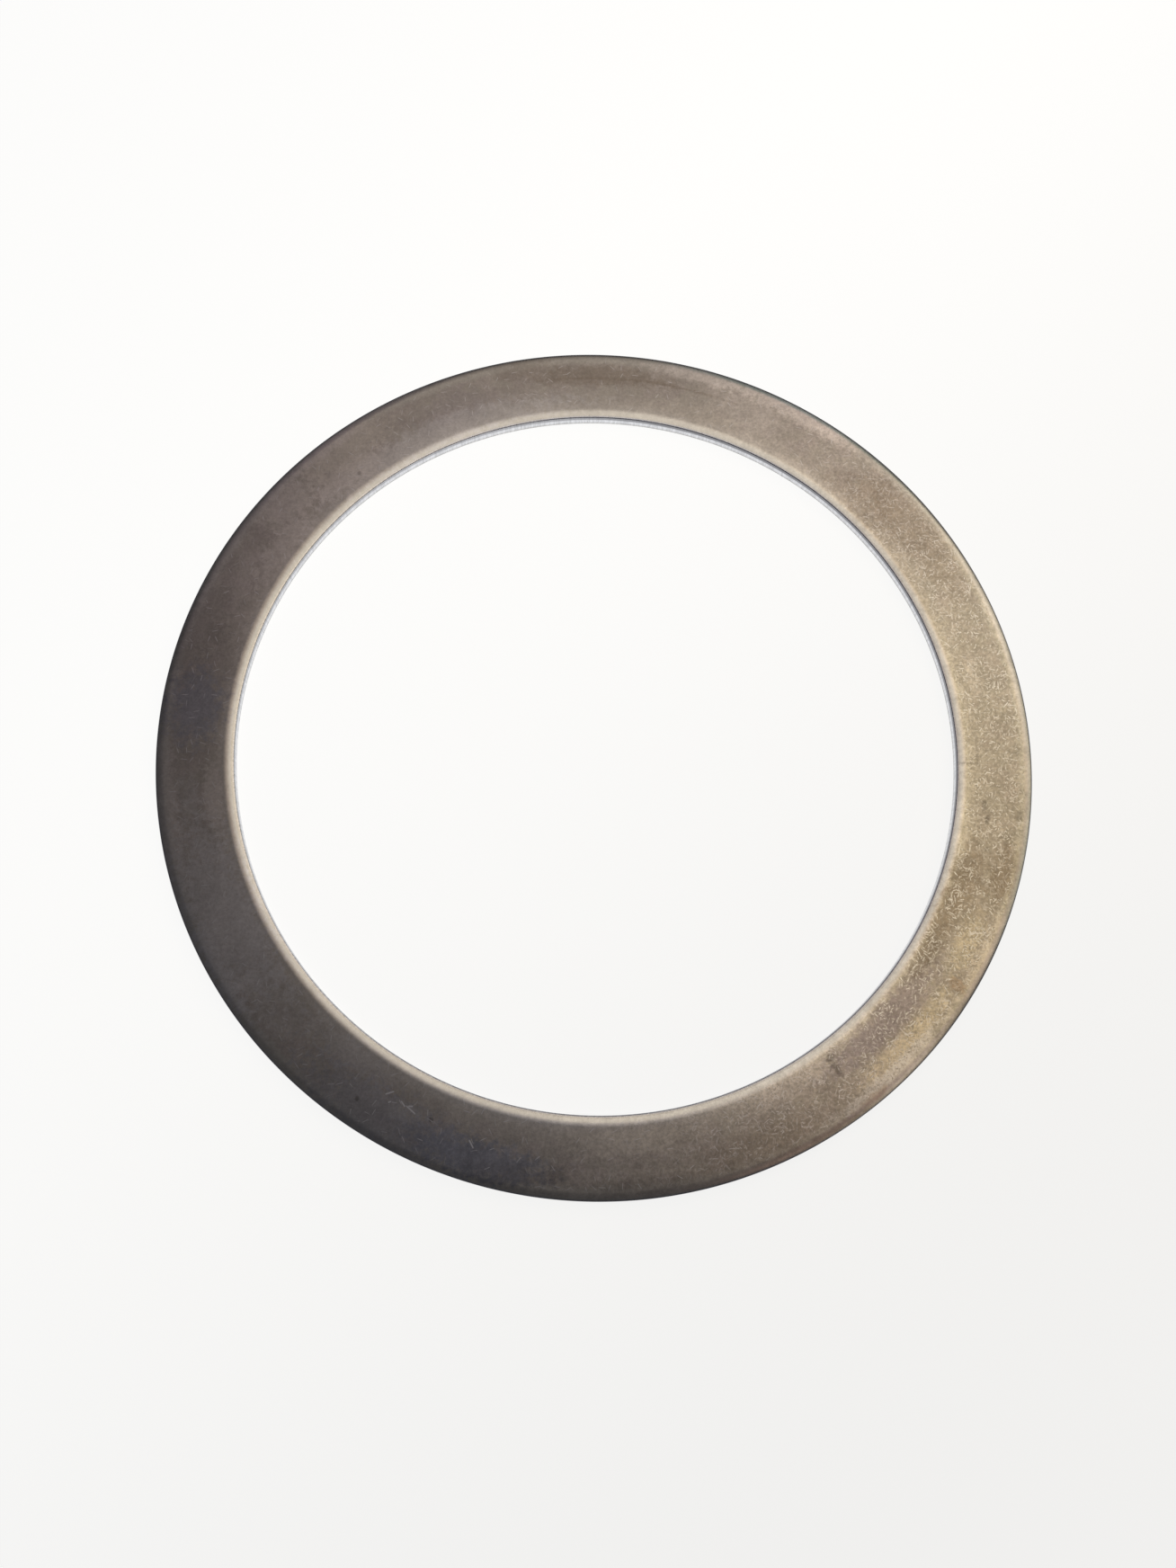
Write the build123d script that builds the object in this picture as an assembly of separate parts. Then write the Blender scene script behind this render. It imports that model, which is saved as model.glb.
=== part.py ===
from build123d import *
from math import cos, radians, sin
import os

# Flat thrust washer: one steel ring, blanked and pierced in the same stroke.
# Millimetres, +Z up. The origin is on the bore axis, in the plane of the lower face.
# Both edges of the upper face are rolled over by the cut. Under each roll the wall is
# sheared true to size, and under that it broke away and leans back into the ring.

bore_diameter = 95.0
ring_width = 10.0
thickness = 2.0

# Roll at the bore: a broad sweep off the upper face, then a tight nose onto the wall.
bore_roll_width = 1.40
bore_roll_slope = 24.0
bore_nose_radius = 0.20

# Roll at the rim: the same form, a little narrower and shallower.
rim_roll_width = 1.10
rim_roll_slope = 20.0
rim_nose_radius = 0.12

# Broken zone below the sheared wall, and the lower corners worn round by tumbling.
fracture_height = 0.50
fracture_setback = 0.06
corner_radius = 0.15

INTO_BORE = -1
PAST_RIM = 1


def roll_depth(width, slope, nose_radius):
    """Height that a roll takes off the wall, from the upper face to the sheared part."""
    sweep_radius = nose_radius + (width - nose_radius) / sin(radians(slope))
    return sweep_radius - (sweep_radius - nose_radius) * cos(radians(slope))


def edge_profile(wall_radius, side, roll_width, slope, nose_radius):
    """Half-section of one edge, from the upper face over the roll and down to the foot."""
    land_top = thickness - roll_depth(roll_width, slope, nose_radius)
    face_end = (wall_radius - side * roll_width, thickness)
    blend_point = (
        wall_radius - side * nose_radius * (1 - sin(radians(slope))),
        land_top + nose_radius * cos(radians(slope)),
    )
    land_bottom = (wall_radius, fracture_height)
    foot = (wall_radius - side * fracture_setback, 0)

    sweep = TangentArc(face_end, blend_point, tangent=(side, 0))
    nose = TangentArc(sweep @ 1, (wall_radius, land_top), tangent=sweep % 1)
    wall = Polyline(nose @ 1, land_bottom, foot)
    return sweep, nose, wall


def ring_section():
    """Closed section of the ring in the XZ plane, with its lower corners rounded."""
    bore_radius = bore_diameter / 2
    bore_edge = edge_profile(
        bore_radius, INTO_BORE, bore_roll_width, bore_roll_slope, bore_nose_radius
    )
    rim_edge = edge_profile(
        bore_radius + ring_width, PAST_RIM, rim_roll_width, rim_roll_slope, rim_nose_radius
    )
    upper_face = Line(bore_edge[0] @ 0, rim_edge[0] @ 0)
    lower_face = Line(bore_edge[-1] @ 1, rim_edge[-1] @ 1)
    section = make_face(Curve() + [upper_face, *rim_edge, lower_face, *bore_edge])
    lower_corners = section.vertices().group_by(Axis.Y)[0]
    return Plane.XZ * fillet(lower_corners, corner_radius)


def save(shape, name):
    """Write one node of the washer as a STEP file."""
    shape.label = name
    export_step(shape, f"parts/{name}.step")


os.makedirs("parts", exist_ok=True)
save(revolve(ring_section(), Axis.Z), "thrust_washer")
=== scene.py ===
from math import atan2, cos, pi, radians, sin, tau

import bpy
from mathutils import Matrix, Vector


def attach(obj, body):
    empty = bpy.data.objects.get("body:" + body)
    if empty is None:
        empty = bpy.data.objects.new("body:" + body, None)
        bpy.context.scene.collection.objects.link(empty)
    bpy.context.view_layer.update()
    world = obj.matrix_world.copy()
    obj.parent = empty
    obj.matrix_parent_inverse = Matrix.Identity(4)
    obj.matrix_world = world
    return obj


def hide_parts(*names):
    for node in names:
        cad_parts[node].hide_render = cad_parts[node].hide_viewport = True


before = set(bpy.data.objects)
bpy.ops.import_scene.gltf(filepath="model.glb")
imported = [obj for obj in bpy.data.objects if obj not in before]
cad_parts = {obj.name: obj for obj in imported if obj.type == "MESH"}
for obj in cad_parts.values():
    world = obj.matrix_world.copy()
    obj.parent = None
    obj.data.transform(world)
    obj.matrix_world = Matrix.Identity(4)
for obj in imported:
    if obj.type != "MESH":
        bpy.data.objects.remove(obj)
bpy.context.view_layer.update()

# A stamped and tumbled steel thrust washer, lying on white paper, its rolled edges up.
# Blender's lengths are metres; lengths in the tables and the materials are millimetres.
MM = 0.001

# The section of the ring is that of the CAD node that it replaces, cut much finer.
THICKNESS = 2.0
BORE = {"wall": 47.5, "side": -1, "roll": 1.40, "slope": radians(24), "nose": 0.20}
RIM = {"wall": 57.5, "side": 1, "roll": 1.10, "slope": radians(20), "nose": 0.12}
FRACTURE_HEIGHT = 0.50
FRACTURE_SETBACK = 0.06
CORNER_RADIUS = 0.15

# Steps round the ring, and steps of each part of the section.
SEGMENTS = 960
FACE_STEPS, SWEEP_STEPS, NOSE_STEPS, LAND_STEPS, BROKEN_STEPS, CORNER_STEPS = 5, 14, 10, 4, 2, 6

# Tones of the steel: the tumbled faces and their pale flecks, partly painted glints, the band
# rubbed bright round the bore, the rolls, the sheared and the broken part of the walls, and the
# painted shade line along their top.
TUMBLED = (0.53, 0.50, 0.455)
ROSY = (0.53, 0.48, 0.46)
DULL = (0.37, 0.345, 0.32)
FLECK_AND_GLINT = (0.96, 0.96, 0.99)
BURNISHED = (0.60, 0.57, 0.52)
ROLLED = (0.62, 0.60, 0.55)
SHEARED = (0.70, 0.71, 0.745)
BROKEN = (0.60, 0.595, 0.60)
PAINTED_EDGE_SHADE = (0.20, 0.20, 0.22)

# Tones of the stains. The darkest also serves as painted shade on the rim's roll.
GRIME_AND_SHADE = (0.16, 0.145, 0.135)
RUST = (0.40, 0.27, 0.17)
BROWN = (0.38, 0.33, 0.28)
STRAW = (0.84, 0.77, 0.63)
CREAM = (0.66, 0.62, 0.56)
PALE = (0.82, 0.77, 0.73)
VIOLET = (0.41, 0.37, 0.41)
SLATE = (0.36, 0.38, 0.45)
ASHEN = (0.73, 0.72, 0.73)

# Stains, each over the ones before: place (radius, angle in degrees), size along the radius
# and along the circle, tone, and how much of it covers the steel. The first is so long that
# it goes all the way round, as the worn border of the bore's roll.
STAINS = (
    {"at": (48.95, 0.0), "size": (0.9, 900.0), "tone": PALE, "cover": 0.22},
    {"at": (56.9, 10.0), "size": (0.9, 34.0), "tone": PALE, "cover": 0.75},
    {"at": (51.6, 10.5), "size": (1.3, 4.5), "tone": PALE, "cover": 0.50},
    {"at": (48.9, 31.0), "size": (1.0, 16.0), "tone": BROWN, "cover": 0.25},
    {"at": (53.6, 34.5), "size": (4.0, 14.0), "tone": BROWN, "cover": 0.60},
    {"at": (50.7, 43.0), "size": (2.8, 9.5), "tone": BROWN, "cover": 0.52},
    {"at": (53.6, 43.0), "size": (3.0, 5.0), "tone": BROWN, "cover": 0.60},
    {"at": (56.1, 59.5), "size": (1.7, 12.5), "tone": PALE, "cover": 0.95},
    {"at": (56.1, 75.5), "size": (1.5, 10.0), "tone": PALE, "cover": 0.80},
    {"at": (53.0, 66.0), "size": (4.0, 7.0), "tone": PALE, "cover": 0.35},
    {"at": (50.3, 74.0), "size": (2.0, 8.0), "tone": CREAM, "cover": 0.60},
    {"at": (54.0, 90.0), "size": (2.3, 13.5), "tone": BROWN, "cover": 0.72},
    {"at": (53.6, 86.0), "size": (0.32, 20.0), "tone": BROWN, "cover": 0.70},
    # Painted shade: a dark band along the rim's roll near its nose.
    {"at": (57.1, 100.0), "size": (0.6, 24.0), "tone": GRIME_AND_SHADE, "cover": 0.22},
    {"at": (55.7, 101.0), "size": (2.0, 6.0), "tone": BROWN, "cover": 0.35},
    {"at": (52.4, 112.5), "size": (3.5, 8.0), "tone": VIOLET, "cover": 0.30},
    {"at": (49.9, 117.0), "size": (2.9, 28.0), "tone": ASHEN, "cover": 0.54},
    {"at": (51.4, 132.0), "size": (3.4, 8.0), "tone": PALE, "cover": 0.60},
    {"at": (54.9, 130.0), "size": (3.4, 11.0), "tone": CREAM, "cover": 0.90},
    {"at": (56.4, 132.0), "size": (1.4, 8.0), "tone": PALE, "cover": 0.55},
    {"at": (54.0, 142.0), "size": (4.5, 6.0), "tone": PALE, "cover": 0.50},
    {"at": (50.6, 148.0), "size": (2.4, 9.0), "tone": PALE, "cover": 0.55},
    {"at": (52.6, 155.0), "size": (2.2, 6.0), "tone": PALE, "cover": 0.22},
    {"at": (54.8, 165.0), "size": (4.0, 11.0), "tone": DULL, "cover": 0.55},
    {"at": (51.2, 170.0), "size": (3.6, 8.0), "tone": DULL, "cover": 0.40},
    {"at": (53.0, 175.5), "size": (5.0, 7.0), "tone": SLATE, "cover": 0.65},
    {"at": (50.2, 190.0), "size": (1.8, 7.0), "tone": PALE, "cover": 0.65},
    {"at": (56.0, 191.0), "size": (1.7, 13.0), "tone": PALE, "cover": 0.60},
    {"at": (53.2, 189.0), "size": (1.8, 5.0), "tone": ASHEN, "cover": 0.25},
    {"at": (52.6, 206.0), "size": (6.5, 17.0), "tone": ASHEN, "cover": 0.75},
    {"at": (50.4, 210.0), "size": (1.8, 12.0), "tone": ASHEN, "cover": 0.62},
    {"at": (56.0, 212.5), "size": (1.5, 10.5), "tone": ASHEN, "cover": 0.70},
    {"at": (53.0, 220.0), "size": (6.0, 9.0), "tone": ASHEN, "cover": 0.20},
    {"at": (50.5, 233.0), "size": (2.5, 9.0), "tone": ASHEN, "cover": 0.40},
    {"at": (54.6, 241.0), "size": (4.6, 16.0), "tone": SLATE, "cover": 0.50},
    {"at": (52.9, 240.0), "size": (1.5, 9.0), "tone": ASHEN, "cover": 0.20},
    {"at": (54.6, 254.0), "size": (3.2, 12.0), "tone": SLATE, "cover": 0.85},
    {"at": (55.4, 259.0), "size": (1.9, 8.0), "tone": GRIME_AND_SHADE, "cover": 0.25},
    {"at": (54.4, 264.3), "size": (1.5, 1.6), "tone": GRIME_AND_SHADE, "cover": 0.25},
    {"at": (50.6, 273.0), "size": (2.6, 12.0), "tone": CREAM, "cover": 0.85},
    {"at": (55.9, 276.0), "size": (1.1, 14.0), "tone": GRIME_AND_SHADE, "cover": 0.27},
    {"at": (54.6, 292.0), "size": (2.8, 11.0), "tone": BROWN, "cover": 0.50},
    {"at": (50.1, 299.0), "size": (2.0, 8.5), "tone": PALE, "cover": 0.65},
    {"at": (54.8, 315.0), "size": (2.6, 11.0), "tone": STRAW, "cover": 0.85},
    # Painted highlight: a near-white patch on the rim's roll where it turns bright past 305
    # degrees.
    {"at": (56.2, 311.5), "size": (1.6, 13.0), "tone": FLECK_AND_GLINT, "cover": 0.68},
    {"at": (53.8, 331.0), "size": (2.4, 5.5), "tone": STRAW, "cover": 0.65},
    {"at": (56.5, 330.5), "size": (1.8, 9.5), "tone": PALE, "cover": 0.92},
    {"at": (51.0, 315.5), "size": (2.8, 15.0), "tone": VIOLET, "cover": 0.85},
    {"at": (49.8, 331.0), "size": (2.0, 10.0), "tone": BROWN, "cover": 0.90},
    {"at": (49.9, 327.0), "size": (1.8, 4.5), "tone": GRIME_AND_SHADE, "cover": 0.30},
    {"at": (49.9, 339.5), "size": (1.6, 4.0), "tone": GRIME_AND_SHADE, "cover": 0.40},
    {"at": (50.8, 338.5), "size": (2.8, 8.0), "tone": BROWN, "cover": 0.80},
    {"at": (54.9, 341.5), "size": (2.4, 6.0), "tone": BROWN, "cover": 0.90},
    # Painted shade: the rim's roll darkened where no light reaches it from the front.
    {"at": (57.1, 302.0), "size": (0.6, 8.0), "tone": GRIME_AND_SHADE, "cover": 0.30},
    {"at": (56.5, 307.0), "size": (0.7, 3.0), "tone": RUST, "cover": 0.40},
    {"at": (55.3, 325.0), "size": (1.7, 1.2), "tone": RUST, "cover": 0.50},
    {"at": (51.2, 350.6), "size": (0.5, 1.3), "tone": GRIME_AND_SHADE, "cover": 0.50},
    {"at": (51.8, 348.7), "size": (0.4, 1.0), "tone": GRIME_AND_SHADE, "cover": 0.55},
    {"at": (56.0, 350.0), "size": (0.6, 1.4), "tone": GRIME_AND_SHADE, "cover": 0.48},
    {"at": (48.9, 357.1), "size": (1.5, 0.30), "tone": GRIME_AND_SHADE, "cover": 0.34},
    {"at": (50.2, 358.3), "size": (0.35, 1.8), "tone": GRIME_AND_SHADE, "cover": 0.35},
    {"at": (49.6, 305.1), "size": (0.8, 0.7), "tone": GRIME_AND_SHADE, "cover": 0.65},
    {"at": (51.3, 305.0), "size": (1.6, 0.6), "tone": GRIME_AND_SHADE, "cover": 0.55},
    {"at": (50.5, 131.0), "size": (0.4, 0.4), "tone": GRIME_AND_SHADE, "cover": 0.45},
    {"at": (54.3, 236.9), "size": (0.4, 0.4), "tone": GRIME_AND_SHADE, "cover": 0.60},
    {"at": (52.2, 246.8), "size": (0.4, 0.4), "tone": GRIME_AND_SHADE, "cover": 0.60},
)

# How far the fringes of the zones and the stains wander in and out, and the part of a stain's
# size inside which it covers evenly.
RAGGED = 0.35
STAIN_CORE = 0.35

# Where the zones of the steel begin or end: off the nearer wall or, where the name says so,
# in height above the paper.
FACE_FROM = (0.6, 1.5)
BORE_BAND_UNTIL = (1.5, 4.0)
ROLL_UNTIL = (1.2, 2.1)
ROLL_HEIGHT = (0.9, 1.3)
WALL_UNTIL = (0.12, 0.30)
FOOT_UNTIL = (0.10, 0.18)
FOOT_HEIGHT = (0.40, 0.56)
# Where the painted shade line along the wall tops begins, and the heights it takes.
SHADE_LINE_FROM = 0.02
SHADE_LINE_HEIGHT = (1.03, 1.30)

# The painted shade of the dark line along the top of the walls: its width, and how much of it
# covers the steel.
SHADE_LINE_WIDTH = {"bore_left": 0.045, "bore_right": 0.13, "rim": 0.13}
SHADE_LINE_COVER = {"bore_left": 0.55, "bore_right": 0.88, "rim": 0.90}

# Cloudy patterns of the steel: how many to the millimetre, detail and roughness. The shift
# moves the pattern of the hues off the others.
FRINGE = (1.1, 4.0, 0.7)
HUES = (0.4, 3.0, 0.6)
MOTTLING = (0.30, 7.0, 0.86)
GRAIN = (2.4, 3.0, 0.65)
CLUMPS = (0.7, 3.0, 0.65)
GAPS = (5.0, 1.0, 0.5)
PITS = (3.0, 2.0, 0.6)
STREAKS = (3.0, 3.0, 0.6)
HUES_SHIFT = (70.0, 20.0, 0.0)

# The strokes of the tumbling marks: size of the cells that hold one each, length and width
# of a stroke, the share of the cells that show theirs, and a shift of the whole pattern.
# BOW bends them all a little.
STROKES = (
    {"cell": 0.42, "length": 0.52, "width": 0.17, "share": 0.75, "shift": (0.0, 0.0)},
    {"cell": 0.60, "length": 0.72, "width": 0.20, "share": 0.70, "shift": (31.0, 17.0)},
    {"cell": 0.85, "length": 1.00, "width": 0.24, "share": 0.65, "shift": (-23.0, 41.0)},
    {"cell": 1.40, "length": 1.50, "width": 0.24, "share": 0.50, "shift": (11.0, 53.0)},
)
BOW = 0.09

# Sparse fine hairs, faint but all round the ring, and how much of them shows.
HAIRS = {"cell": 1.10, "length": 1.10, "width": 0.15, "share": 0.50, "shift": (7.0, -29.0)}
HAIR_COVER = 0.55

# Long scratches of the cluster on the lower left: their two ends (radius, angle in degrees).
SCRATCHES = (
    ((52.07, 239.7), (51.19, 240.6)),
    ((52.71, 240.6), (52.39, 240.9)),
    ((51.77, 242.0), (52.18, 242.9)),
    ((51.98, 242.9), (52.39, 244.6)),
    ((51.93, 243.2), (51.70, 243.8)),
    ((52.74, 252.4), (53.57, 253.3)),
)
SCRATCH_WIDTH = 0.14
SCRATCH_COVER = 0.9

# The painted glints of the tumbling marks and the painted shade line are strongest at minus this
# angle, on the right, the side the light comes from.
LIT_SIDE_TURN = radians(15)

# Radii between which what belongs to the bore's edge gives way to what belongs to the rim's.
HALFWAY = (52.0, 53.0)

# Roughness of the rolls and of the face, and what the broken zone adds to it.
ROLL_ROUGHNESS, FACE_ROUGHNESS, BROKEN_EXTRA = 0.27, 0.36, 0.20

# Height of the grain of the faces.
GRAIN_HEIGHT = 0.004

# Soft lamps, all in one plane above the washer and facing down: the edges of each in X and
# Y, and its radiance in red, green and blue.
LAMP_HEIGHT = 160
CEILING = {
    "over_left": ((-60, -20, 0, 100), (0.46, 0.37, 0.31)),
    "over_middle": ((-20, 40, 0, 100), (0.97, 0.90, 0.82)),
    "over_front": ((-20, 40, -40, 0), (0.27, 0.27, 0.33)),
    "over_right": ((40, 70, -40, 100), (1.35, 1.12, 0.86)),
    "right_near": ((70, 120, -40, 100), (0.71, 0.57, 0.30)),
    "right_front": ((120, 200, -160, 60), (0.55, 0.44, 0.31)),
    "right_back": ((120, 200, 60, 200), (1.15, 1.02, 0.81)),
    "far_right": ((200, 320, -40, 200), (0.65, 0.60, 0.46)),
    "back": ((60, 120, 100, 200), (0.65, 0.53, 0.47)),
    "far_back": ((60, 200, 200, 320), (0.16, 0.22, 0.22)),
    "back_left": ((-60, 60, 100, 320), (0.36, 0.31, 0.27)),
    "front_right": ((70, 120, -160, -40), (0.24, 0.15, 0.12)),
    "far_left": ((-160, -60, 60, 320), (0.09, 0.07, 0.08)),
}

# The room round the lamps, as it lights the washer and as the camera sees it.
ROOM = (0.065, 0.063, 0.068)
BACKDROP = (1.0, 1.0, 1.0)

# The camera stands where the photograph was taken from. Its place is measured from the
# plane of the upper edges, EDGE_HEIGHT above the paper.
PHOTO_HEIGHT_PX = 1744
FOCAL_PX = 1358
SENSOR_WIDTH = 36
EDGE_HEIGHT = 1.6
CAMERA_TILT = radians(-14.0)
CAMERA_LEAN = radians(2.256)
CAMERA_PLACE = Vector((-7.62, -44.26, 154.5 + EDGE_HEIGHT))

# The paper: what shows white of its own accord, and the part that the lamps light. The white
# is painted brighter towards the upper left, as painted light, and far away it rises to meet the
# backdrop.
PAPER_SIZE = 6000
PAPER_GLOW = {"far": 60, "near": -100, "brightest": 0.94, "dimmest": 0.835}
PAPER_PAINTED_LIGHT_TOWARDS = (-0.707, 0.707, 0.0)
PAPER_RISE = {"near": 200.0, "far": 1200.0, "gain": 0.17}
PAPER_HUE = (1.0, 1.0, 0.99)
PAPER_LIT = (0.16, 0.16, 0.165)


# The ring

def arc(centre, radius, start, end, steps):
    """Points of an arc in the plane of the section, from angle start to angle end."""
    angles = [start + (end - start) * i / steps for i in range(steps + 1)]
    return [(centre[0] + radius * cos(a), centre[1] + radius * sin(a)) for a in angles]


def steps_to(start, end, steps):
    """Points that lead from start to end in even steps, without the start."""
    return [
        tuple(a + (b - a) * i / steps for a, b in zip(start, end))
        for i in range(1, steps + 1)
    ]


def edge_points(edge):
    """(r, z) points of one edge, from the upper face over the roll and down to the foot."""
    roll, nose, slope = edge["roll"], edge["nose"], edge["slope"]
    sweep = nose + (roll - nose) / sin(slope)
    land_top = THICKNESS - sweep + (sweep - nose) * cos(slope)
    foot_r = -FRACTURE_SETBACK * (FRACTURE_HEIGHT - CORNER_RADIUS) / FRACTURE_HEIGHT
    corner = (foot_r - CORNER_RADIUS, CORNER_RADIUS)

    # Worked out as a rim whose wall is at 0, then set in its place and turned to its side.
    points = arc((-roll, THICKNESS - sweep), sweep, pi / 2, pi / 2 - slope, SWEEP_STEPS)
    points += arc((-nose, land_top), nose, pi / 2 - slope, 0, NOSE_STEPS)[1:]
    points += steps_to(points[-1], (0, FRACTURE_HEIGHT), LAND_STEPS)
    points += steps_to(points[-1], (foot_r, CORNER_RADIUS), BROKEN_STEPS)
    points += arc(corner, CORNER_RADIUS, 0, -pi / 2, CORNER_STEPS)[1:]
    return [(edge["wall"] + edge["side"] * r, z) for r, z in points]


def section():
    """Closed loop of (r, z): across the upper face, down the rim, back under, up the bore."""
    bore, rim = edge_points(BORE), edge_points(RIM)
    upper_face = steps_to(bore[0], rim[0], FACE_STEPS)[:-1]
    lower_face = steps_to(rim[-1], bore[-1], FACE_STEPS)[:-1]
    return upper_face + rim + lower_face + bore[::-1]


def ring_mesh(name):
    """The section carried round the axis, as smooth quads."""
    loop = section()
    count = len(loop)
    verts, faces = [], []
    for i in range(SEGMENTS):
        turn = tau * i / SEGMENTS
        verts += [(r * cos(turn) * MM, r * sin(turn) * MM, z * MM) for r, z in loop]
        here, there = i * count, (i + 1) % SEGMENTS * count
        for j in range(count):
            k = (j + 1) % count
            faces.append((here + j, there + j, there + k, here + k))
    mesh = bpy.data.meshes.new(name)
    mesh.from_pydata(verts, [], faces)
    mesh.shade_smooth()
    return mesh


def add_object(name, data):
    """A new object in the scene."""
    made = bpy.data.objects.new(name, data)
    bpy.context.collection.objects.link(made)
    return made


# Nodes

class Graph:
    """Short spellings for the nodes of a material or a world."""

    def __init__(self, owner):
        owner.use_nodes = True
        self.owner = owner
        self.tree = owner.node_tree
        self.nodes = self.tree.nodes

    def put(self, socket, value):
        """Links an output to an input, or writes a constant on it."""
        if isinstance(value, bpy.types.NodeSocket):
            self.tree.links.new(value, socket)
        elif isinstance(value, tuple) and socket.type == "RGBA":
            socket.default_value = (*value, 1)
        else:
            socket.default_value = value

    def node(self, kind, inputs=(), **settings):
        """A node with its settings made and its named or numbered inputs filled."""
        made = self.nodes.new(kind)
        for key, value in settings.items():
            setattr(made, key, value)
        for key, value in dict(inputs).items():
            self.put(made.inputs[key], value)
        return made

    def math(self, operation, *values):
        return self.node("ShaderNodeMath", enumerate(values), operation=operation).outputs[0]

    def product(self, first, *others):
        for value in others:
            first = self.math("MULTIPLY", first, value)
        return first

    def largest(self, first, *others):
        for value in others:
            first = self.math("MAXIMUM", first, value)
        return first

    def vector(self, operation, *values):
        """Result of a vector operation: a number where it gives one, and else a vector."""
        made = self.node("ShaderNodeVectorMath", enumerate(values), operation=operation)
        return made.outputs["Value" if operation in ("LENGTH", "DOT_PRODUCT") else "Vector"]

    def in_mm(self):
        """Place on the object, in millimetres."""
        inputs = {0: self.node("ShaderNodeTexCoord").outputs["Object"], "Scale": 1 / MM}
        return self.node("ShaderNodeVectorMath", inputs, operation="SCALE").outputs[0]

    def ramp(self, value, start, end, low=0.0, high=1.0):
        """low below start, high above end, and a smooth step between them."""
        inputs = {"Value": value, "From Min": start, "From Max": end, "To Min": low, "To Max": high}
        return self.node("ShaderNodeMapRange", inputs, interpolation_type="SMOOTHSTEP").outputs[0]

    def noise(self, where, per_mm, detail=2.0, roughness=0.5):
        inputs = {"Vector": where, "Scale": per_mm, "Detail": detail, "Roughness": roughness}
        return self.node("ShaderNodeTexNoise", inputs).outputs["Fac"]

    def mix(self, factor, first, second, blend="MIX"):
        """Mix of two colours. Sockets 6 and 7 of the node are its colours, output 2 its result."""
        made = self.node("ShaderNodeMix", data_type="RGBA", blend_type=blend)
        for index, value in ((0, factor), (6, first), (7, second)):
            self.put(made.inputs[index], value)
        return made.outputs[2]

    def turned(self, vector, angle):
        """X and Y of a vector once it is turned about Z."""
        inputs = {"Vector": vector, "Angle": angle}
        rotated = self.node("ShaderNodeVectorRotate", inputs, rotation_type="Z_AXIS")
        axes = self.node("ShaderNodeSeparateXYZ", {0: rotated.outputs[0]})
        return axes.outputs[0], axes.outputs[1]


# The steel

class Place:
    """Where a point of the washer lies, in millimetres, and the zones that follow from it."""

    def __init__(self, graph):
        self.where = graph.in_mm()
        axes = graph.node("ShaderNodeSeparateXYZ", {0: self.where})
        level = {0: axes.outputs[0], 1: axes.outputs[1]}
        self.flat = graph.node("ShaderNodeCombineXYZ", level).outputs[0]
        self.height = axes.outputs[2]
        self.radius = graph.vector("LENGTH", self.flat)
        self.angle = graph.math("ARCTAN2", axes.outputs[1], axes.outputs[0])

        # From 1 on the right, the side the light comes from, to -1 across from there; the painted
        # glints and the painted shade line follow it.
        self.side = graph.math("COSINE", graph.math("ADD", self.angle, LIT_SIDE_TURN))

        # How far a point is off the nearer wall, as it is and with a ragged fringe.
        fringe = graph.noise(self.where, *FRINGE)
        self.ragged = graph.ramp(fringe, 0.2, 0.8, -RAGGED, RAGGED)
        self.off_bore = graph.math("SUBTRACT", self.radius, BORE["wall"])
        off_rim = graph.math("SUBTRACT", RIM["wall"], self.radius)
        self.off_edge = graph.math("MINIMUM", self.off_bore, off_rim)
        self.off_fringe = graph.math("ADD", self.off_edge, graph.math("MULTIPLY", self.ragged, 0.8))

        # The face between the rolls, and the broken zone at the foot of the walls.
        self.on_face = graph.ramp(self.off_fringe, *FACE_FROM)
        self.on_foot = graph.product(
            graph.ramp(self.off_edge, *FOOT_UNTIL, 1.0, 0.0),
            graph.ramp(self.height, *FOOT_HEIGHT, 1.0, 0.0),
        )


def polar(radius, degrees):
    """Point of the ring's plane at a radius and an angle."""
    return Vector((radius * cos(radians(degrees)), radius * sin(radians(degrees)), 0))


def stroke(graph, place, cell, length, width, share, shift):
    """Short bowed strokes, one to a cell, each turned its own way and of its own strength."""
    moved = graph.vector("ADD", place.flat, (*shift, 0.0))
    inputs = {"Vector": moved, "Scale": 1 / cell}
    cells = graph.node("ShaderNodeTexVoronoi", inputs, voronoi_dimensions="2D")
    lot = graph.node("ShaderNodeSeparateColor", {0: cells.outputs["Color"]})
    offset = graph.vector("SUBTRACT", moved, cells.outputs["Position"])
    x, y = graph.turned(offset, graph.math("MULTIPLY", lot.outputs[0], tau))
    along = graph.math("ABSOLUTE", x)
    sag = graph.math("MULTIPLY", graph.math("POWER", along, 2.0), BOW)
    across = graph.math("ABSOLUTE", graph.math("SUBTRACT", y, sag))
    return graph.product(
        graph.ramp(along, length * 0.20, length / 2, 1.0, 0.0),
        graph.ramp(across, width * 0.15, width / 2, 1.0, 0.0),
        graph.ramp(lot.outputs[1], 1 - share, 1 - share * 0.1),
    )


def scratch(graph, place, start, end):
    """One straight scratch between two points of the ring's plane."""
    start, end = polar(*start), polar(*end)
    middle, run = (start + end) / 2, end - start
    offset = graph.vector("SUBTRACT", place.flat, tuple(middle))
    x, y = graph.turned(offset, -atan2(run.y, run.x))
    along, across = graph.math("ABSOLUTE", x), graph.math("ABSOLUTE", y)
    return graph.product(
        graph.ramp(along, run.length * 0.35, run.length * 0.55, 1.0, 0.0),
        graph.ramp(across, SCRATCH_WIDTH * 0.2, SCRATCH_WIDTH, 1.0, 0.0),
    )


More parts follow.
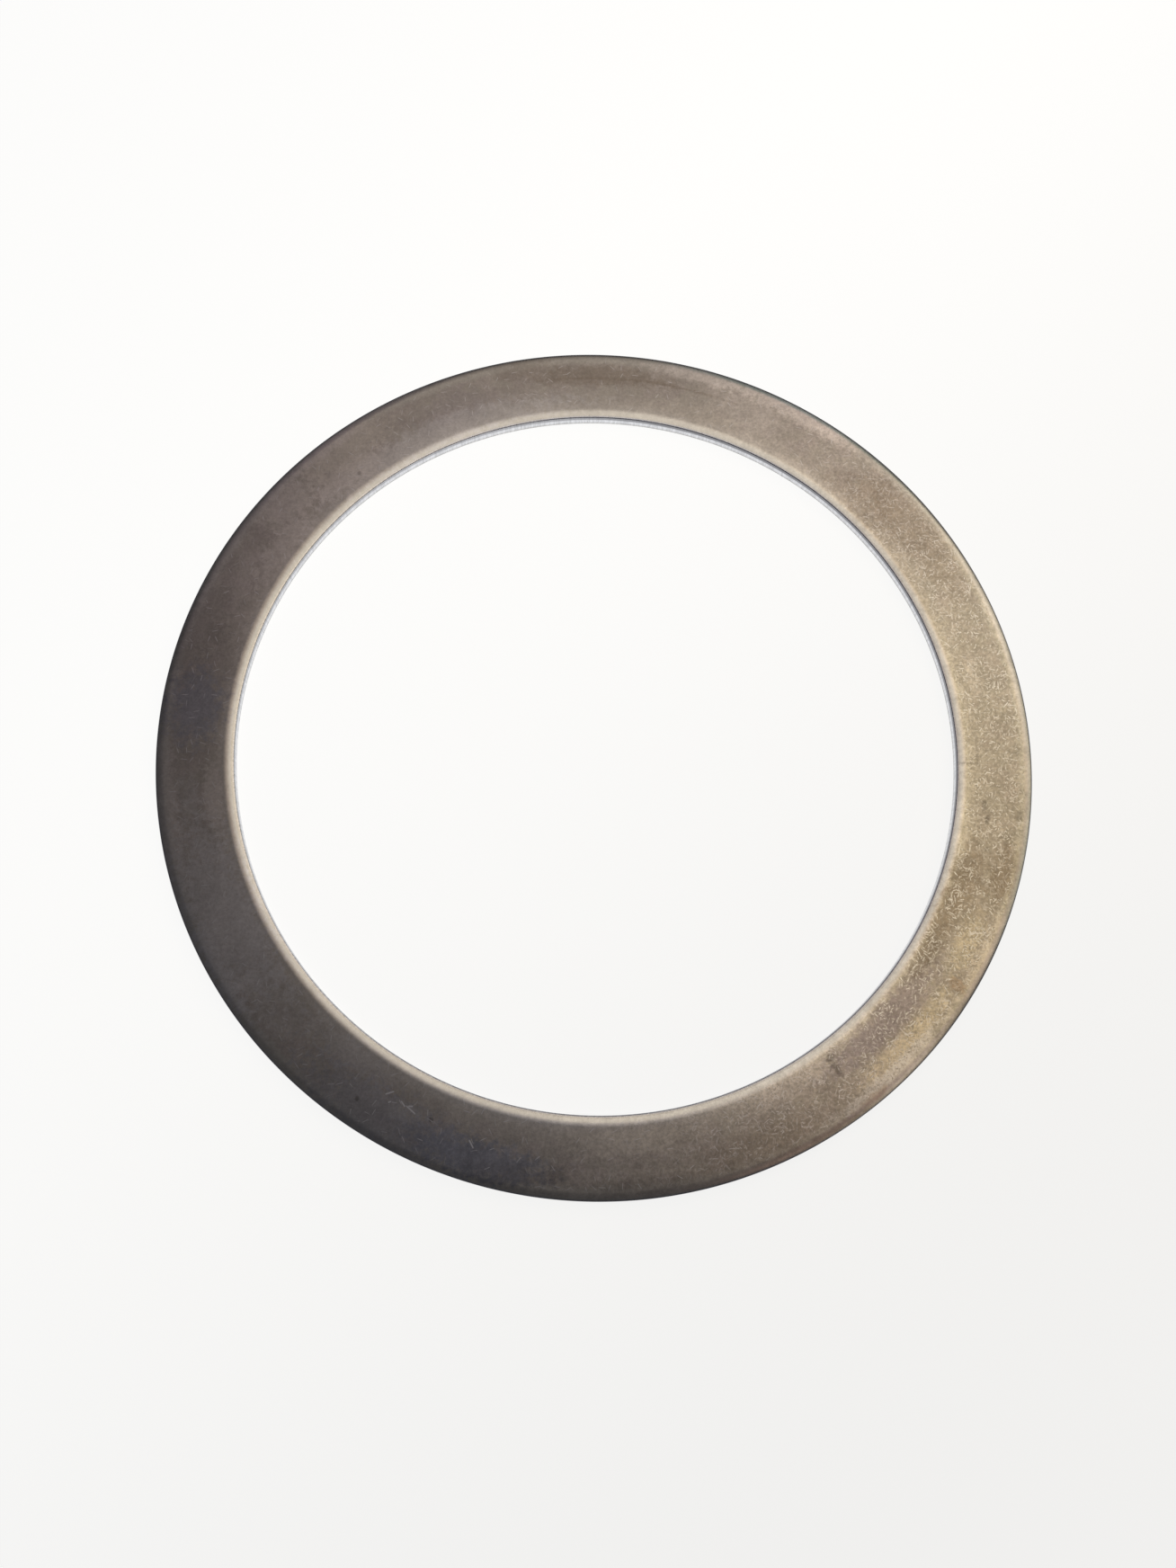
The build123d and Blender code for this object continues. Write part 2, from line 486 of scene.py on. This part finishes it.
def stain(graph, place, at, size, cover):
    """Soft-edged patch of a stain, bent round with the ring and a little ragged."""
    turn = radians(at[1])
    outward = graph.math("MULTIPLY_ADD", place.radius, 1 / size[0], -at[0] / size[0])
    nearest = graph.math("WRAP", place.angle, turn + pi, turn - pi)
    around = graph.math("MULTIPLY_ADD", nearest, at[0] / size[1], -turn * at[0] / size[1])
    square = graph.math("MULTIPLY_ADD", outward, outward, graph.product(around, around))
    reach = graph.math("ADD", graph.math("SQRT", square), place.ragged)
    return graph.ramp(reach, STAIN_CORE, 1.0, cover, 0.0)


def ground_tone(graph, place):
    """The bare steel of the faces, burnished round the bore and paler on the rolls."""
    hue = graph.noise(graph.vector("ADD", place.where, HUES_SHIFT), *HUES)
    off_bore = graph.math("ADD", place.off_bore, place.ragged)
    by_bore = graph.ramp(off_bore, *BORE_BAND_UNTIL, 0.85, 0.0)
    on_roll = graph.product(
        graph.ramp(place.off_fringe, *ROLL_UNTIL, 1.0, 0.0),
        graph.ramp(place.height, *ROLL_HEIGHT),
    )
    tone = graph.mix(graph.ramp(hue, 0.35, 0.65, 0.0, 0.6), TUMBLED, ROSY)
    tone = graph.mix(by_bore, tone, BURNISHED)
    return graph.mix(on_roll, tone, ROLLED)


def mottled_tone(graph, place, tone, grain):
    """Light and dark mottling in all sizes, strongest on the face and on the right, where the light
    falls.
    """
    mottled = graph.noise(place.where, *MOTTLING)
    levels = {"Value": mottled, "From Min": 0.0, "To Min": 0.24, "To Max": 1.76}
    shade = graph.node("ShaderNodeMapRange", levels).outputs[0]
    speckled = graph.ramp(grain, 0.30, 0.70, 0.90, 1.10)
    shaded = graph.product(
        graph.ramp(place.off_fringe, 0.5, 1.5, 0.6, 1.0),
        graph.ramp(place.side, -0.4, 0.7, 0.5, 1.0),
    )
    return graph.mix(shaded, tone, graph.product(shade, speckled), "MULTIPLY")


def marked_tone(graph, place, tone):
    """Dull pits and pale flecks gathered in loose clumps, painted far stronger on the lit right
    side as glints and dark specks, then hairs and long scratches.
    """
    clumps = graph.noise(place.where, *CLUMPS)
    gaps = graph.noise(place.where, *GAPS)
    # The pits and flecks are drawn ten times stronger on the right, where the light falls: there
    # they are partly painted glints and painted shade specks.
    strength = graph.product(
        graph.ramp(place.side, 0.14, 1.0, 0.10, 1.0),
        graph.ramp(clumps, 0.40, 0.60, 0.32, 1.10),
        graph.ramp(gaps, 0.30, 0.60, 0.55, 1.0),
        place.on_face,
    )
    pitted = graph.ramp(graph.noise(place.where, *PITS), 0.38, 0.52, 0.80, 0.0)
    tone = graph.mix(graph.product(pitted, strength), tone, DULL)

    flecks = graph.largest(*(stroke(graph, place, **kind) for kind in STROKES))
    tone = graph.mix(graph.product(flecks, strength), tone, FLECK_AND_GLINT)
    hairs = graph.product(stroke(graph, place, **HAIRS), place.on_face, HAIR_COVER)
    tone = graph.mix(hairs, tone, FLECK_AND_GLINT)
    scratches = graph.largest(*(scratch(graph, place, *ends) for ends in SCRATCHES))
    return graph.mix(graph.product(scratches, SCRATCH_COVER), tone, FLECK_AND_GLINT)


def edge_tone(graph, place, tone):
    """The walls, with the broken zone at their foot, and a painted shade line along their top."""
    # The walls are rubbed into fine upright streaks, and the rim's is a little darker.
    along = graph.product(place.angle, BORE["wall"])
    upright = {0: along, 1: graph.product(place.height, 0.15)}
    streaks = graph.noise(graph.node("ShaderNodeCombineXYZ", upright).outputs[0], *STREAKS)
    rubbed = graph.product(
        graph.ramp(streaks, 0.30, 0.70, 0.86, 1.14),
        graph.ramp(place.radius, *HALFWAY, 1.0, 0.70),
    )
    wall = graph.mix(1.0, graph.mix(place.on_foot, SHEARED, BROKEN), rubbed, "MULTIPLY")
    on_wall = graph.largest(graph.ramp(place.off_edge, *WALL_UNTIL, 1.0, 0.0), place.on_foot)
    tone = graph.mix(on_wall, tone, wall)

    # The painted shade line is finer and fainter on the left of the bore, where the nose faces the
    # light, and even at the rim.
    width = graph.largest(
        graph.ramp(place.side, -0.6, 0.2, SHADE_LINE_WIDTH["bore_left"], SHADE_LINE_WIDTH["bore_right"]),
        graph.ramp(place.radius, *HALFWAY, 0.0, SHADE_LINE_WIDTH["rim"]),
    )
    cover = graph.largest(
        graph.ramp(place.side, -0.6, 0.0, SHADE_LINE_COVER["bore_left"], SHADE_LINE_COVER["bore_right"]),
        graph.ramp(place.radius, *HALFWAY, 0.0, SHADE_LINE_COVER["rim"]),
    )
    # Painted shade: a dark line along the top of the walls, standing in for the dark that their
    # noses reflect.
    on_shade_line = graph.product(
        graph.ramp(place.off_edge, SHADE_LINE_FROM, width, 1.0, 0.0),
        graph.ramp(place.height, *SHADE_LINE_HEIGHT),
    )
    return graph.mix(graph.product(on_shade_line, cover), tone, PAINTED_EDGE_SHADE)


def steel():
    """Tumbled stamped steel: mottled satin faces full of short pale flecks, partly painted glints,
    with stains, some of them painted shade and highlight, and a painted shade line along the edges.
    """
    graph = Graph(bpy.data.materials.new("satin_steel"))
    place = Place(graph)
    grain = graph.noise(place.where, *GRAIN)

    tone = ground_tone(graph, place)
    for mark in STAINS:
        patch = stain(graph, place, mark["at"], mark["size"], mark["cover"])
        tone = graph.mix(patch, tone, mark["tone"])
    tone = mottled_tone(graph, place, tone, grain)
    tone = marked_tone(graph, place, tone)
    tone = edge_tone(graph, place, tone)

    # The grain also stands out of the face.
    inputs = {"Height": grain, "Strength": place.on_face, "Distance": GRAIN_HEIGHT * MM}
    bump = graph.node("ShaderNodeBump", inputs)
    satin = graph.ramp(place.off_edge, 0.2, 2.2, ROLL_ROUGHNESS, FACE_ROUGHNESS)
    roughness = graph.math("ADD", satin, graph.product(place.on_foot, BROKEN_EXTRA))

    shader = graph.nodes["Principled BSDF"]
    graph.put(shader.inputs["Base Color"], tone)
    graph.put(shader.inputs["Metallic"], 1.0)
    graph.put(shader.inputs["Roughness"], roughness)
    graph.put(shader.inputs["Normal"], bump.outputs[0])
    return graph.owner


# The paper

def paper():
    """White paper: it shows white to the camera and in the metal, and keeps the ring's shadow."""
    graph = Graph(bpy.data.materials.new("paper"))
    graph.nodes.clear()
    path = graph.node("ShaderNodeLightPath")
    seen = graph.largest(path.outputs["Is Camera Ray"], path.outputs["Is Glossy Ray"])
    where = graph.in_mm()
    # Painted light: the glow fades from the upper left to the lower right.
    toward_painted_light = graph.vector("DOT_PRODUCT", where, PAPER_PAINTED_LIGHT_TOWARDS)
    ends = PAPER_GLOW["near"], PAPER_GLOW["far"]
    painted_falloff = graph.ramp(toward_painted_light, *ends, PAPER_GLOW["dimmest"], PAPER_GLOW["brightest"])
    far_off = graph.vector("LENGTH", where)
    rise = graph.ramp(far_off, PAPER_RISE["near"], PAPER_RISE["far"], 0.0, PAPER_RISE["gain"])
    strength = graph.product(graph.math("ADD", painted_falloff, rise), seen)
    glow = graph.node("ShaderNodeEmission", {"Color": PAPER_HUE, "Strength": strength})
    lit = graph.node("ShaderNodeBsdfDiffuse", {"Color": PAPER_LIT})
    both = graph.node("ShaderNodeAddShader", {0: glow.outputs[0], 1: lit.outputs[0]})
    graph.node("ShaderNodeOutputMaterial", {"Surface": both.outputs[0]})
    return graph.owner


def sheet_mesh(name, size):
    """A square sheet in the plane that the washer lies on, round its axis."""
    half = size / 2 * MM
    corners = [(-half, -half, 0), (half, -half, 0), (half, half, 0), (-half, half, 0)]
    mesh = bpy.data.meshes.new(name)
    mesh.from_pydata(corners, [], [(0, 1, 2, 3)])
    return mesh


# The washer on its paper

ring = add_object("washer_ring", ring_mesh("washer_ring"))
ring.data.materials.append(steel())
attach(ring, "root")
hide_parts("thrust_washer")

sheet = sheet_mesh("paper", PAPER_SIZE)
sheet.materials.append(paper())
add_object("paper", sheet)


# Light

def lamp(name, edges, radiance):
    """Rectangular lamp of even radiance, facing down. The camera doesn't see it."""
    left, right, front, back = edges
    light = bpy.data.lights.new(name, "AREA")
    light.shape = "RECTANGLE"
    light.size, light.size_y = (right - left) * MM, (back - front) * MM
    brightest = max(radiance)
    light.energy = brightest * light.size * light.size_y * pi
    light.color = [part / brightest for part in radiance]
    made = add_object(name, light)
    made.location = Vector(((left + right) / 2, (front + back) / 2, LAMP_HEIGHT)) * MM
    made.visible_camera = False


def room():
    """The dim room round the lamps, white where the camera sees it."""
    graph = Graph(bpy.data.worlds.new("room"))
    graph.nodes.clear()
    dim = graph.node("ShaderNodeBackground", {"Color": ROOM})
    white = graph.node("ShaderNodeBackground", {"Color": BACKDROP})
    seen = graph.node("ShaderNodeLightPath").outputs["Is Camera Ray"]
    shown = graph.node("ShaderNodeMixShader", {0: seen, 1: dim.outputs[0], 2: white.outputs[0]})
    graph.node("ShaderNodeOutputWorld", {"Surface": shown.outputs[0]})
    return graph.owner


for name, (edges, radiance) in CEILING.items():
    lamp(name, edges, radiance)
bpy.context.scene.world = room()


# Camera

view = bpy.data.cameras.new("camera")
view.sensor_width = SENSOR_WIDTH
view.lens = FOCAL_PX / PHOTO_HEIGHT_PX * SENSOR_WIDTH
view.clip_start = MM
camera = add_object("camera", view)
turn = Matrix.Rotation(CAMERA_TILT, 3, "X") @ Matrix.Rotation(CAMERA_LEAN, 3, "Y")
camera.matrix_world = Matrix.Translation(CAMERA_PLACE * MM) @ turn.transposed().to_4x4()
bpy.context.scene.camera = camera
bpy.context.scene.view_settings.view_transform = "Standard"
